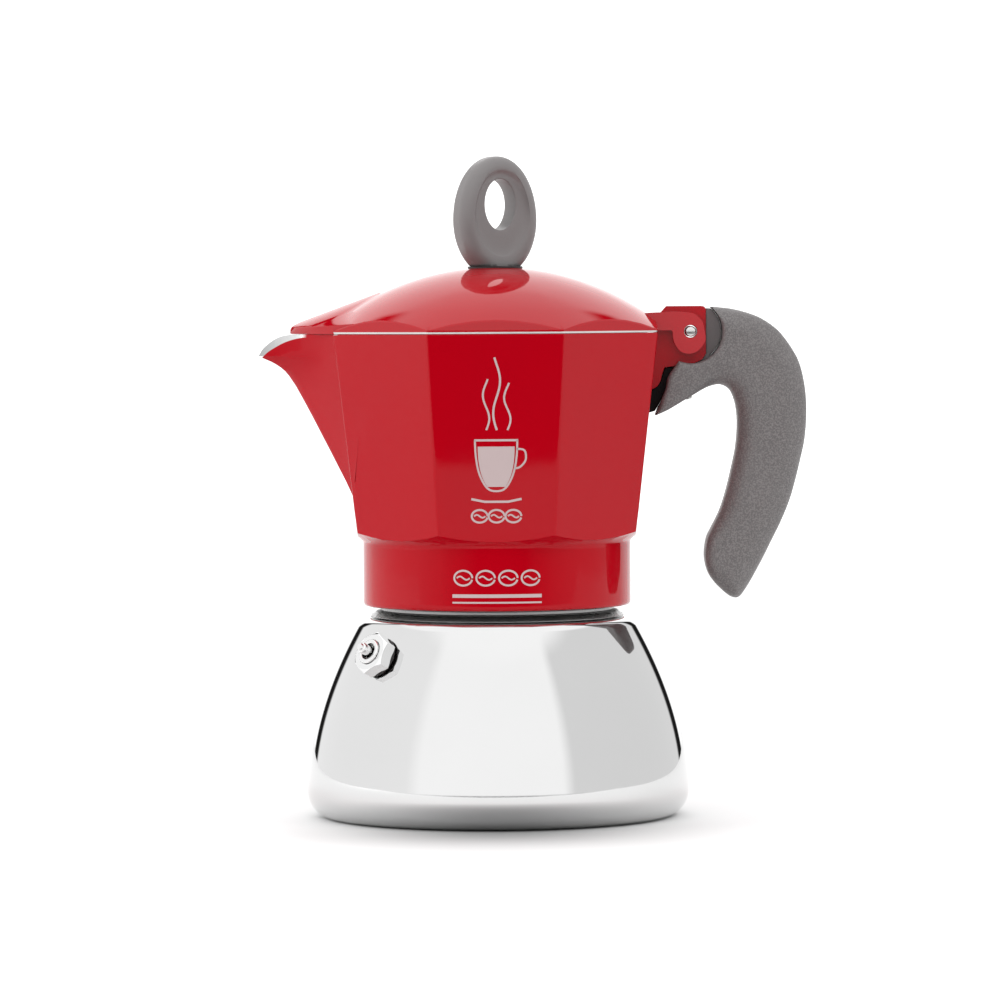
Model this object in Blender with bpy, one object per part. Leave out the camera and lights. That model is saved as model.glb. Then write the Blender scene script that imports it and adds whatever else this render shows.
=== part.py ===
"""Stovetop coffee pot: steel bell boiler, octagonal painted collector, domed lid, hooked handle.

All lengths below are millimetres; the meshes are written in metres. +Z is up, the spout points
to -X, the hinge and the handle sit on +X. The origin is the centre of the base plane.
"""

import math

import bmesh
import bpy
from mathutils import Matrix, Vector

for old in list(bpy.data.objects):
    bpy.data.objects.remove(old, do_unlink=True)
for old in list(bpy.data.meshes):
    bpy.data.meshes.remove(old)

MM = 0.001
SEGS = 48                      # around every large round; a multiple of 8 keeps the corners sharp

# ---------------------------------------------------------------- driving dimensions
BASE_R = 50.0                  # widest part of the boiler
BASE_FLAT_R = 44.0             # flat the pot rests on
BASE_CORNER_Z = 7.3
BELL_TOP_Z = 51.1
BELL_TOP_R = 36.8
BELL_POWER = 1.87
JACKET_T = 0.8
LINER_GAP = 0.3
LINER_T = 1.9

NECK_BORE_R = 27.6
NECK_ROOT_R = 30.3
NECK_CREST_R = 31.0
NECK_TOP_Z = 64.0
THREAD_PITCH = 3.2

COLLAR_R = 34.9
COLLAR_Z0 = 55.1
COLLAR_Z1 = 72.1
COLLAR_CREST_R = 31.4
COLLAR_ROOT_R = 32.1
RECESS_Z = 69.5                # ceiling of the gasket recess

OCT_A0, OCT_Z0 = 36.1, 74.0    # half width across the flats near the bottom
OCT_A1, OCT_Z1 = 41.9, 126.0   # and at the rim
WALL_T = 2.6
FLOOR_Z = 77.0

LID_Z0 = 126.35
DOME_R = 70.0
DOME_TOP_Z = 143.3
LID_T = 1.7

PIN_X, PIN_Z, PIN_R = 50.7, 126.2, 1.4
LUG_HALF = 4.7
EAR_IN, EAR_OUT = 5.05, 7.8
GRIP_HALF = 8.5
CORE_HALF = 4.3
SCOOP_R = 8.3                  # clearance swept by the lid ears round the pin

KNOB_A, KNOB_B, KNOB_Z = 11.3, 16.6, 155.5
KNOB_SQUAT = 1.8               # how much flatter the knob's lower half is
KNOB_BASE_Z = 143.45
KNOB_TURN = math.radians(28.0)

VALVE_Z = 43.0
VALVE_AZ = math.radians(47.0)  # round from -Y towards -X


# ---------------------------------------------------------------- small shape helpers
def bell_r(z):
    """Outer radius of the boiler above its rounded bottom edge."""
    t = (z - BASE_CORNER_Z) / (BELL_TOP_Z - BASE_CORNER_Z)
    return BASE_R - (BASE_R - BELL_TOP_R) * t ** BELL_POWER


def oct_a(z):
    """Half width across the flats of the collector at height z."""
    return OCT_A0 + (OCT_A1 - OCT_A0) * (z - OCT_Z0) / (OCT_Z1 - OCT_Z0)


def poly_r(a, ang, sides=8):
    """Distance to the edge of a regular polygon of half width a, flats on the axes."""
    step = 2 * math.pi / sides
    return a / math.cos((ang + step / 2) % step - step / 2)


def dome_z(r, thick=0.0):
    return DOME_TOP_Z - DOME_R + math.sqrt((DOME_R - thick) ** 2 - r * r)


def paint(name, colour, metallic, rough):
    mat = bpy.data.materials.get(name) or bpy.data.materials.new(name)
    mat.use_nodes = True
    bsdf = mat.node_tree.nodes["Principled BSDF"]
    bsdf.inputs["Base Color"].default_value = (*colour, 1.0)
    bsdf.inputs["Metallic"].default_value = metallic
    bsdf.inputs["Roughness"].default_value = rough
    return mat


def make(name, verts, faces, mat, place=None, smooth=35.0, pivot=(0.0, 0.0, 0.0)):
    """One named object from millimetre points; pivot is where its origin sits."""
    if place is not None:
        verts = [place @ Vector(v) for v in verts]
    off = Vector(pivot)
    mesh = bpy.data.meshes.new(name)
    mesh.from_pydata([(Vector(v) - off) * MM for v in verts], [], faces)
    bm = bmesh.new()
    bm.from_mesh(mesh)
    bmesh.ops.remove_doubles(bm, verts=bm.verts, dist=1e-6)
    bmesh.ops.dissolve_degenerate(bm, edges=bm.edges, dist=1e-6)
    bmesh.ops.recalc_face_normals(bm, faces=bm.faces)
    if bm.calc_volume(signed=True) < 0:
        bmesh.ops.reverse_faces(bm, faces=bm.faces)
    bm.to_mesh(mesh)
    bm.free()
    mesh.polygons.foreach_set("use_smooth", [True] * len(mesh.polygons))
    mesh.set_sharp_from_angle(angle=math.radians(smooth))
    ob = bpy.data.objects.new(name, mesh)
    ob.location = off * MM
    bpy.context.scene.collection.objects.link(ob)
    if mat is not None:
        mesh.materials.append(mat)
    return ob


def spin(rings, segs=SEGS, loop=True):
    """Grid of rings round Z. A ring is (r, z) or a function of the angle giving (r, z).

    loop=True joins the last ring to the first; otherwise both ends are closed with a face.
    """
    verts, faces = [], []
    for ring in rings:
        for i in range(segs):
            ang = 2 * math.pi * i / segs
            r, z = ring(ang) if callable(ring) else ring
            verts.append((r * math.cos(ang), r * math.sin(ang), z))
    count = len(rings)
    for j in range(count if loop else count - 1):
        a, b = j * segs, ((j + 1) % count) * segs
        for i in range(segs):
            k = (i + 1) % segs
            faces.append((a + i, a + k, b + k, b + i))
    if not loop:
        faces.append(tuple(reversed(range(segs))))
        faces.append(tuple((count - 1) * segs + i for i in range(segs)))
    return verts, faces


def loft(sections, loop=False):
    """Skin between outlines with equal point counts; the ends are closed unless loop."""
    n = len(sections[0])
    verts = [p for sec in sections for p in sec]
    faces = []
    count = len(sections)
    for j in range(count if loop else count - 1):
        a, b = j * n, ((j + 1) % count) * n
        for i in range(n):
            k = (i + 1) % n
            faces.append((a + i, a + k, b + k, b + i))
    if not loop:
        faces.append(tuple(reversed(range(n))))
        faces.append(tuple((count - 1) * n + i for i in range(n)))
    return verts, faces


def slab(outline, y0, y1):
    """A plate: an x, z outline carried from y0 to y1."""
    return loft([[(x, y, z) for x, z in outline] for y in (y0, y1)])


def rod(x, y, z0, z1, r, segs=24):
    return loft([[(x + r * math.cos(2 * math.pi * i / segs),
                   y + r * math.sin(2 * math.pi * i / segs), z) for i in range(segs)]
                 for z in (z0, z1)])


def cross_rod(x, z, y0, y1, r, segs=32):
    return loft([[(x + r * math.cos(2 * math.pi * i / segs), y,
                   z + r * math.sin(2 * math.pi * i / segs)) for i in range(segs)]
                 for y in (y0, y1)])


def inset(outline, amount, limit=2.2):
    """Move every corner of a closed outline inwards by amount."""
    area = sum(a[0] * b[1] - b[0] * a[1] for a, b in zip(outline, outline[1:] + outline[:1]))
    sign = 1.0 if area > 0 else -1.0
    out = []
    for i, p in enumerate(outline):
        before = Vector(p) - Vector(outline[i - 1])
        after = Vector(outline[(i + 1) % len(outline)]) - Vector(p)
        n0 = Vector((-before.y, before.x)).normalized() * sign
        n1 = Vector((-after.y, after.x)).normalized() * sign
        mean = (n0 + n1).normalized()
        reach = min(1.0 / max(mean.dot(n0), 0.2), limit)
        q = Vector(p) + mean * amount * reach
        out.append((q.x, q.y))
    return out


def boolean(target, tool, how):
    """Leave the tool hidden and let the target's modifier do the cutting or joining."""
    mod = target.modifiers.new(tool.name, "BOOLEAN")
    mod.operation = how
    mod.solver = "EXACT"
    mod.object = tool
    tool.hide_render = True
    tool.display_type = "WIRE"


def join_to(target, name, shape, place=None):
    boolean(target, make(name, *shape, None, place), "UNION")


def cut_from(target, name, shape, place=None):
    boolean(target, make(name, *shape, None, place), "DIFFERENCE")


# ---------------------------------------------------------------- materials
STEEL = paint("mirror_steel", (0.80, 0.80, 0.80), 1.0, 0.06)
ALU = paint("cast_aluminium", (0.62, 0.62, 0.61), 1.0, 0.35)
RED = paint("red_enamel", (0.42, 0.006, 0.010), 0.0, 0.12)
GREY = paint("grey_nylon", (0.165, 0.155, 0.155), 0.0, 0.45)
BLACK = paint("black_nylon", (0.010, 0.008, 0.008), 0.0, 0.5)
RUBBER = paint("seal_rubber", (0.70, 0.68, 0.62), 0.0, 0.7)
BRASS = paint("nickel_brass", (0.70, 0.68, 0.62), 1.0, 0.12)
SCREW = paint("zinc_screw", (0.60, 0.60, 0.60), 1.0, 0.3)

# ---------------------------------------------------------------- boiler
valve_r = bell_r(VALVE_Z)
slope = (bell_r(VALVE_Z + 0.5) - bell_r(VALVE_Z - 0.5))
radial = Vector((-math.sin(VALVE_AZ), -math.cos(VALVE_AZ), 0.0))
valve_dir = (radial - Vector((0.0, 0.0, slope))).normalized()
valve_at = radial * valve_r + Vector((0.0, 0.0, VALVE_Z))
side = Vector((0.0, 0.0, 1.0)).cross(valve_dir).normalized()
up = valve_dir.cross(side)
VALVE = Matrix.Translation(valve_at) @ Matrix((side, up, valve_dir)).transposed().to_4x4()


def bell(offset, z_low):
    """Wall points of the bell moved inwards by offset, bottom to top."""
    pts = []
    for t in (0.0, 0.2, 0.4, 0.6, 0.78, 0.92, 1.0):
        z = BASE_CORNER_Z + t * (BELL_TOP_Z - BASE_CORNER_Z)
        tilt = math.atan((bell_r(min(z + 0.5, BELL_TOP_Z)) - bell_r(z)) / 0.5) if t < 1 else -0.5
        pts.append((bell_r(z) - offset * math.cos(tilt), max(z_low, z + offset * math.sin(tilt))))
    return pts


def corner(offset):
    """Rounded bottom edge from the resting flat to the wall."""
    pts = []
    for deg in (0, 22, 45, 68):
        a = math.radians(deg)
        pts.append((BASE_FLAT_R + (BASE_R - BASE_FLAT_R - offset) * math.sin(a),
                    offset + (BASE_CORNER_Z - offset) * (1 - math.cos(a))))
    return pts


outer = [(BASE_FLAT_R - 0.05, 0.12)] + corner(0.0)[1:] + bell(0.0, 0.0) + [(35.4, 52.1), (33.9, 52.5)]
inner = [(33.6, 51.7), (34.9, 51.4)] + list(reversed(bell(JACKET_T, 1.0))) \
    + list(reversed(corner(JACKET_T)[1:])) + [(BASE_FLAT_R - 0.05, JACKET_T)]
boiler_jacket = make("boiler_jacket", *spin(outer + inner), STEEL, smooth=50.0)
PLATE_R = BASE_FLAT_R - 0.4
base_disc = make("base_disc", *spin([
    (PLATE_R - 0.15, 0.0), (PLATE_R + 0.2, 0.2), (PLATE_R + 0.2, JACKET_T)], loop=False), STEEL, smooth=50.0)
heat_plate = make("heat_plate", *spin([
    (PLATE_R, 0.9), (PLATE_R, 4.0), (PLATE_R - 0.4, 4.4)], loop=False), ALU, smooth=50.0)


def thread(root, crest, z0, z1, sign=1.0):
    """Rings of a cylinder carrying a right-hand screw thread between z0 and z1."""
    rings = []
    rows = int(round((z1 - z0) / THREAD_PITCH * 4))
    for j in range(rows + 1):
        z = z0 + (z1 - z0) * j / rows

        def ring(ang, z=z):
            phase = (z / THREAD_PITCH - ang / (2 * math.pi)) % 1.0
            tooth = min(1.0, max(0.0, 1.6 - abs(phase - 0.5) * 5.0))
            fade = min(1.0, (z - z0) / 1.5, (z1 - z) / 1.5)
            return root + (crest - root) * tooth * max(0.0, fade), z
        rings.append(ring)
    return rings


off = JACKET_T + LINER_GAP
liner_out = [(PLATE_R + 0.15, off + 0.1)] + corner(off)[1:] + bell(off, off) \
    + [(34.2, 51.3), (33.3, 51.5), (32.9, 52.4), (31.6, 53.7), (NECK_ROOT_R, 54.0)] \
    + thread(NECK_ROOT_R, NECK_CREST_R, 54.6, 63.4) + [(NECK_ROOT_R - 0.5, NECK_TOP_Z)]
thick = off + LINER_T
liner_in = [(NECK_BORE_R, NECK_TOP_Z), (NECK_BORE_R, 53.4), (29.4, 51.0), (33.0, 48.6)] \
    + list(reversed(bell(thick, thick + 1.5)[:-1])) + [(44.2, 5.1), (PLATE_R + 0.15, 4.6)]
boiler_liner = make("boiler_liner", *spin(liner_out + liner_in), ALU, smooth=40.0)
valve_hole = rod(0, 0, -8.0, 4.0, 4.15, 32)
cut_from(boiler_jacket, "jacket_valve_hole", valve_hole, VALVE)
cut_from(boiler_liner, "liner_valve_hole", valve_hole, VALVE)

# ---------------------------------------------------------------- safety valve
HEX_HALF, HEX_S0, HEX_S1 = 5.0, 0.8, 4.2
TIP = 8.1


def hexed(s):
    return lambda ang: (poly_r(HEX_HALF, ang, 6), s)


def chamfer(ang):
    r = poly_r(HEX_HALF, ang, 6)
    return r, HEX_S1 - 0.05 - (r - HEX_HALF) * 0.75


valve_washer = make("valve_washer", *spin([(4.2, 0.36), (5.3, 0.36), (5.3, 0.74), (4.2, 0.74)], 36),
                    BLACK, VALVE)
valve_body = make("valve_body", *spin([
    (1.2, -5.0), (3.85, -5.0), (3.85, HEX_S0), hexed(HEX_S0), chamfer, (HEX_HALF - 0.15, HEX_S1),
    (3.5, HEX_S1), (3.5, 2.9), (2.65, 2.9), (2.65, -3.9), (1.2, -3.9)], 36), BRASS, VALVE)
valve_retainer = make("valve_retainer", *spin([
    (2.2, 3.0), (3.3, 3.0), (3.3, 4.6), (3.0, 4.9), (2.5, 4.9), (2.2, 4.7)], 36), BRASS, VALVE)
valve_piston = make("valve_piston", *loft([
    [(r * math.cos(2 * math.pi * i / 24), r * math.sin(2 * math.pi * i / 24), s)
     for i in range(24)] for r, s in
    ((2.35, -3.7), (2.35, -2.9), (1.4, -2.9), (1.4, TIP - 1.0), (1.25, TIP - 0.7),
     (0.85, TIP - 0.6), (0.8, TIP - 0.1), (0.65, TIP))]), BRASS, VALVE, pivot=valve_at)


def coil(r, wire, s0, s1, turns, per=14, around=6):
    sections = []
    steps = int(turns * per)
    for j in range(steps + 1):
        a = 2 * math.pi * j / per
        s = s0 + (s1 - s0) * j / steps
        sections.append([((r + wire * math.cos(t)) * math.cos(a),
                          (r + wire * math.cos(t)) * math.sin(a), s + wire * math.sin(t))
                         for t in (2 * math.pi * k / around for k in range(around))])
    return loft(sections)


valve_spring = make("valve_spring", *coil(1.98, 0.28, -1.2, 2.5, 3.5), SCREW, VALVE, smooth=80.0)

# ---------------------------------------------------------------- funnel and filters
funnel = make("funnel", *spin([
    (4.6, 8.0), (5.4, 8.0), (5.4, 43.0), (8.0, 44.6), (24.6, 45.6), (26.6, 47.4), (26.9, 64.15),
    (30.0, 64.15), (30.0, 65.0), (26.2, 65.0), (25.9, 48.2), (24.4, 46.6), (8.0, 45.6),
    (4.6, 43.8)]), ALU, smooth=35.0)


def perforated(r_out, z0, z1, pitch, hole, clear):
    """Disc with a hexagonal field of round holes, as plate and cutter shapes."""
    plate = loft([[(r_out * math.cos(2 * math.pi * i / SEGS), r_out * math.sin(2 * math.pi * i / SEGS), z)
                   for i in range(SEGS)] for z in (z0, z1)])
    verts, faces = [], []
    rows = int(r_out / pitch) + 1
    for a in range(-rows, rows + 1):
        for b in range(-rows, rows + 1):
            x, y = pitch * (a + b / 2), pitch * b * math.sqrt(3) / 2
            if math.hypot(x, y) > clear:
                continue
            v, f = rod(x, y, z0 - 0.5, z1 + 0.5, hole, 8)
            faces += [tuple(len(verts) + i for i in face) for face in f]
            verts += v
    return plate, (verts, faces)


plate, holes = perforated(24.0, 47.0, 47.7, 7.0, 1.0, 21.0)
funnel_filter_disc = make("funnel_filter_disc", *plate, ALU)
cut_from(funnel_filter_disc, "disc_holes", holes)
plate, holes = perforated(28.8, 65.25, 66.1, 6.0, 1.0, 23.5)
filter_plate = make("filter_plate", *plate, ALU)
cut_from(filter_plate, "plate_holes", holes)
gasket = make("gasket", *spin([(25.6, 66.4), (30.2, 66.4), (30.5, 66.7), (30.5, 69.0), (30.2, 69.3),
                               (25.6, 69.3), (25.3, 69.0), (25.3, 66.7)]), RUBBER)


# ---------------------------------------------------------------- collector
def oct_ring(a, z):
    return lambda ang: (poly_r(a, ang), z)


def waist(ang):
    """Where the flats run out against the round shoulder above the collar."""
    r = poly_r(oct_a(73.6), ang)
    return r, COLLAR_Z1 + 0.35 + (r - 35.2) * 0.56


collector_shape = spin([
    (33.2, COLLAR_Z0), (34.4, COLLAR_Z0 + 0.15), (COLLAR_R, COLLAR_Z0 + 0.9), (COLLAR_R, COLLAR_Z1 - 0.5),
    (35.2, COLLAR_Z1 + 0.1), waist, oct_ring(oct_a(100.0), 100.0), oct_ring(OCT_A1, OCT_Z1),
    oct_ring(OCT_A1 - WALL_T, OCT_Z1), oct_ring(oct_a(100.0) - WALL_T, 100.0),
    oct_ring(oct_a(80.0) - WALL_T - 0.2, 81.0), (31.0, 78.0), (27.5, FLOOR_Z), (7.6, FLOOR_Z), (7.6, 75.2),
    (22.5, 72.4), (24.8, 71.6),
    (24.8, RECESS_Z), (31.0, RECESS_Z), (31.0, 67.2)]
    + list(reversed(thread(COLLAR_ROOT_R, COLLAR_CREST_R, 56.6, 66.2))) + [(32.7, 55.6)])
collector = make("collector", *collector_shape, RED, smooth=30.0)

KEEL = ((84.2, -36.6), (85.6, -37.7), (95.0, -42.7), (105.0, -48.0), (111.1, -51.4),
        (113.7, -53.0), (116.4, -55.0), (118.2, -57.4), (119.4, -59.9), (120.4, -62.2),
        (121.8, -62.2), (127.5, -62.2))


def spout_side(z):
    """Crease where the spout leaves the flat beside it."""
    t = max(0.0, z - 85.0) / 41.3
    return -37.35 + 3.8 * t, -15.4 - 10.1 * t


def spout_front(z):
    """Line the two plain sides of the spout lean out to, and half the width of its nose."""
    return (-37.35 - 0.529 * (min(z, 114.0) - 85.0) - 0.10 * max(0.0, z - 114.0),
            max(1.6, 14.6 * (116.5 - z) / 31.5))


def spout_outer(z, keel):
    sink = 0.7 if z < 85.0 else 0.0
    cx, cy = spout_side(z)
    plain, nose = spout_front(z)
    cx, cy, nose, plain = cx + sink, cy + sink, nose - sink, plain - (0.3 if sink else 0.0)
    mid = oct_a(z) - WALL_T / 2
    flare = min(0.0, keel - plain)
    tail = Vector((plain - cx, -nose - cy)).normalized() * 0.9
    pts = [(-mid + sink, -mid * math.tan(math.pi / 8) + sink), (cx - tail.x, cy - tail.y)]
    if sink:
        pts[1] = (cx + 0.2, cy + 0.1)
    for t in (0.55, 0.75, 0.9, 1.0):
        pull = ((t - 0.45) / 0.55) ** 2.2 * flare
        p = Vector((cx, cy)).lerp(Vector((plain, -nose)), t)
        pts.append((p.x + pull, p.y))
    return [(x, y, z) for x, y in pts] + [(x, -y, z) for x, y in reversed(pts)]


spout = loft([spout_outer(z, keel) for z, keel in KEEL])


def spout_inner(z, keel, out):
    """Channel of the spout: the outside moved in by the wall, run out past the tip by out."""
    cx = spout_side(z)[0]
    plain, nose = spout_front(z)
    wall = -(oct_a(z) - WALL_T) * math.sqrt(2) + 1.2
    a = Vector((cx + 2.4, wall - cx - 2.4))
    b = Vector((plain + 2.0, -max(0.7, nose - 1.5)))
    flare = min(0.0, keel + 2.0 - b.x)
    pts = [(-24.0, -8.0), (a.x, a.y)]
    for t in (0.55, 0.75, 0.9, 1.0):
        p = a.lerp(b, t)
        pts.append((p.x + ((t - 0.45) / 0.55) ** 2.2 * flare, p.y))
    pts.append((b.x + flare - out, b.y * (1.0 if out > 1.0 else 0.7)))
    return [(x, y, z) for x, y in pts] + [(x, -y, z) for x, y in reversed(pts)]


channel = loft([spout_inner(z, k, out) for z, k, out in
                ((88.0, -39.0, 0.3), (95.0, -42.7, 0.3), (105.0, -48.0, 0.3), (111.1, -51.4, 0.3),
                 (115.5, -54.3, 0.3), (118.2, -57.4, 0.3), (119.8, -60.8, 0.3), (121.0, -62.2, 5.0),
                 (124.0, -62.2, 6.0), (128.0, -62.2, 6.0))])
lip = slab([(-28.0, 126.0), (-51.5, 125.95), (-54.0, 125.9), (-55.8, 125.5), (-57.8, 124.6),
            (-59.7, 123.2), (-60.9, 122.0), (-62.0, 120.3), (-64.0, 119.0), (-66.0, 130.0),
            (-28.0, 130.0)], -30.0, 30.0)
LUG = [(39.6, 110.9), (41.7, 112.1), (42.5, 113.3), (43.6, 117.1), (46.5, 117.5), (50.5, 117.7),
       (53.4, 119.1), (54.4, 120.6), (54.4, 132.0), (53.6, 132.8), (44.4, 132.8), (42.8, 131.0),
       (41.6, 128.0), (41.4, 125.7), (39.9, 125.2)]
join_to(collector, "spout_solid", spout)
cut_from(collector, "spout_channel", channel)
cut_from(collector, "spout_lip", lip)
join_to(collector, "hinge_lug", slab(LUG, -LUG_HALF, LUG_HALF))
cut_from(collector, "lug_pin_hole", cross_rod(PIN_X, PIN_Z, -9.0, 9.0, PIN_R + 0.22))

SCREW_X = 48.3
cut_from(collector, "lug_screw_hole", rod(SCREW_X, 0.0, 112.0, 122.9, 1.65, 16))
hinge_pin = make("hinge_pin", *cross_rod(PIN_X, PIN_Z, -7.4, 7.4, PIN_R), SCREW)

riser_column = make("riser_column", *spin([
    (4.4, 75.0), (7.3, 75.0), (7.3, 77.6), (6.9, 80.0), (5.4, 112.0), (4.9, 114.6), (3.6, 115.8),
    (2.6, 116.0), (2.6, 79.0)], 32), ALU)


# ---------------------------------------------------------------- handle
def arc(cx, cz, r, a0, a1, n):
    return [(cx + r * math.cos(math.radians(a0 + (a1 - a0) * i / (n - 1))),
             cz + r * math.sin(math.radians(a0 + (a1 - a0) * i / (n - 1)))) for i in range(n)]


GRIP = [(57.6, 132.5), (61.6, 132.0), (65.8, 130.9), (69.4, 129.4), (73.1, 126.8), (75.4, 124.2),
        (77.3, 121.4), (78.8, 118.6), (79.9, 115.0), (80.7, 110.0), (80.9, 104.5), (80.4, 98.1),
        (79.3, 92.9), (78.0, 87.6), (76.5, 82.4), (74.4, 77.2), (71.8, 72.0), (69.2, 66.8),
        (66.3, 61.5), (64.7, 58.9), (63.4, 57.2), (62.2, 56.7), (60.6, 57.2), (58.5, 58.9),
        (56.1, 61.5), (54.8, 64.2), (54.25, 67.8), (54.8, 72.0), (56.1, 74.9), (58.3, 79.6),
        (60.0, 85.0), (61.3, 90.3), (62.4, 95.5), (62.9, 100.7), (62.8, 105.0), (62.1, 108.5),
        (60.8, 111.1), (58.4, 112.3), (56.0, 112.0), (53.8, 111.1), (49.3, 108.5), (44.9, 105.9),
        (41.6, 104.4), (42.6, 107.2), (44.2, 111.6), (44.8, 114.4), (46.4, 116.8)] \
    + arc(PIN_X, PIN_Z, SCOOP_R, -112, 50, 14)
handle_grip = make("handle_grip", *loft([[(x, y, z) for x, z in inset(GRIP, d)] for y, d in (
    (-GRIP_HALF, 0.9), (-GRIP_HALF + 0.5, 0.35), (-GRIP_HALF + 1.6, 0.0),
    (GRIP_HALF - 1.6, 0.0), (GRIP_HALF - 0.5, 0.35), (GRIP_HALF, 0.9))]), GREY, smooth=38.0)

CORE = [(40.0, 105.2), (40.75, 110.9), (42.0, 111.8), (42.85, 113.2), (43.95, 116.75), (46.5, 117.15),
        (50.6, 117.35), (53.6, 118.75), (54.75, 120.4), (54.75, 132.2)] \
    + arc(PIN_X, PIN_Z, SCOOP_R - 0.3, 48, -50, 9) \
    + [(56.6, 117.0), (56.0, 115.0), (50.0, 114.0), (45.6, 113.2), (43.6, 109.5), (41.4, 105.5)]
handle_core = make("handle_core", *slab(CORE, -CORE_HALF, CORE_HALF), BLACK)
cut_from(handle_grip, "grip_slot", slab(inset(CORE, -0.3), -CORE_HALF - 0.3, CORE_HALF + 0.3))
cut_from(handle_grip, "grip_lug_room", slab(inset(LUG, -0.35), -LUG_HALF - 0.3, LUG_HALF + 0.3))
cut_from(handle_grip, "grip_screw_seat", rod(SCREW_X, 0.0, 104.0, 111.2, 3.4, 24))
cut_from(handle_grip, "grip_screw_hole", rod(SCREW_X, 0.0, 110.0, 116.0, 1.65, 16))
cut_from(handle_core, "core_screw_hole", rod(SCREW_X, 0.0, 104.0, 119.0, 1.65, 16))
handle_screw = make("handle_screw", *spin([
    (1.0, 108.4), (2.6, 108.4), (3.0, 108.9), (3.0, 110.0), (1.35, 111.0), (1.35, 122.0),
    (0.6, 122.6), (0.6, 122.0), (0.6, 109.4), (1.0, 109.2)], 24, loop=True), SCREW,
    Matrix.Translation((SCREW_X, 0.0, 0.0)))


# ---------------------------------------------------------------- lid
def dome_edge(ang):
    r = poly_r(OCT_A1, ang)
    return r, dome_z(r)


def dome_edge_in(ang):
    r = poly_r(OCT_A1 - 3.0, ang)
    return r, dome_z(r, LID_T)


lid_pivot = (PIN_X, 0.0, PIN_Z)
lid = make("lid", *spin([(2.1, dome_z(2.1))] + [(r, dome_z(r)) for r in (8.0, 16.0, 24.0, 31.0, 37.0)]
                        + [dome_edge, oct_ring(OCT_A1, LID_Z0), oct_ring(OCT_A1 - 3.0, LID_Z0),
                           dome_edge_in]
                        + [(r, dome_z(r, LID_T)) for r in (35.0, 28.0, 20.0, 10.0, 2.1)]),
           RED, pivot=lid_pivot, smooth=30.0)


def hull(points):
    bm = bmesh.new()
    for p in points:
        bm.verts.new(p)
    bmesh.ops.convex_hull(bm, input=bm.verts)
    bmesh.ops.dissolve_limit(bm, angle_limit=0.001, verts=bm.verts, edges=bm.edges)
    bm.verts.ensure_lookup_table()
    bm.verts.index_update()
    out = [tuple(v.co) for v in bm.verts], [tuple(v.index for v in f.verts) for f in bm.faces]
    bm.free()
    return out


def beak(pts):
    return hull([(x, s * y, z) for x, y, z in pts for s in (1, -1)])


beak_out = beak([(-34.2, 24.6, LID_Z0), (-34.2, 24.6, 128.9), (-46.1, 12.2, LID_Z0), (-46.1, 12.2, 128.0),
                 (-51.6, 4.6, LID_Z0), (-51.3, 4.4, 127.6), (-53.6, 0.9, LID_Z0), (-53.0, 0.8, 127.2),
                 (-50.5, 0.6, 129.4), (-30.0, 0.6, 136.75), (-30.0, 26.0, LID_Z0), (-30.0, 26.0, 129.5)])
beak_in = beak([(-32.0, 22.6, 125.0), (-32.0, 22.4, 128.0), (-45.0, 10.2, 125.0), (-44.6, 10.0, 126.9),
                (-50.4, 3.4, 125.0), (-49.4, 2.6, 126.8), (-47.6, 0.4, 128.6), (-27.0, 0.4, 135.8),
                (-27.0, 22.0, 125.0), (-27.0, 20.0, 129.0)])
join_to(lid, "beak_solid", beak_out)
cut_from(lid, "beak_hollow", beak_in)
EAR = [(39.3, 126.5), (39.3, 129.5), (38.3, 131.0), (43.0, 131.2), (46.0, 131.4), (50.5, 131.2),
       (53.0, 129.7), (54.2, 126.9), (54.6, 124.3), (53.8, 122.5), (52.0, 120.8), (49.6, 120.4),
       (47.7, 121.3), (46.5, 123.1), (46.0, 125.4), (45.6, 126.5)]
for tag, y in (("near", -1), ("far", 1)):
    join_to(lid, "ear_" + tag, slab(EAR, y * EAR_OUT, y * EAR_IN))
cut_from(lid, "lid_notch", cross_rod(PIN_X, PIN_Z, -5.05, 5.05, 9.85, 48))
cut_from(lid, "ear_pin_hole", cross_rod(PIN_X, PIN_Z, -9.0, 9.0, PIN_R + 0.3))

# ---------------------------------------------------------------- knob
knob_washer = make("knob_washer", *spin([
    (2.2, dome_z(2.2) + 0.03), (7.2, dome_z(7.2) + 0.03), (7.2, 143.3), (7.05, 143.43), (2.2, 143.43)], 32), BLACK)


def knob_ring(a, b, t, low, cz=KNOB_Z, n=40):
    """One oval of the knob, across its width, at depth t; its foot is cut off flat."""
    out = []
    for i in range(n):
        ang = 2 * math.pi * i / n
        tall = b if math.sin(ang) > 0 or not low else b - KNOB_SQUAT
        out.append((a * math.cos(ang), t, max(cz + tall * math.sin(ang), low)))
    return out


T = 4.3
low = KNOB_BASE_Z
knob_rings = [knob_ring(KNOB_A - d, KNOB_B - d, t, low) for t, d in (
    (-T, 2.9), (-T + 0.55, 1.35), (-T + 1.35, 0.5), (-T + 2.4, 0.08), (T - 2.4, 0.08), (T - 1.35, 0.5),
    (T - 0.55, 1.35), (T, 2.9))]
knob_rings += [knob_ring(a, b, t, 0.0, cz) for a, b, t, cz in (
    (8.1, 11.4, T, 157.2), (7.5, 10.6, T - 0.62, 157.3), (4.75, 6.95, T - 1.1, 159.4), (4.5, 6.65, T - 1.4, 159.5),
    (4.5, 6.65, 1.4 - T, 159.5), (4.75, 6.95, 1.1 - T, 159.4), (7.5, 10.6, 0.62 - T, 157.3), (8.1, 11.4, -T, 157.2))]
knob = make("knob", *loft(knob_rings, loop=True), GREY, Matrix.Rotation(KNOB_TURN, 4, "Z"), smooth=50.0)
cut_from(knob, "knob_screw_hole", rod(0.0, 0.0, 140.0, 149.2, 1.95, 16))
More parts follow.
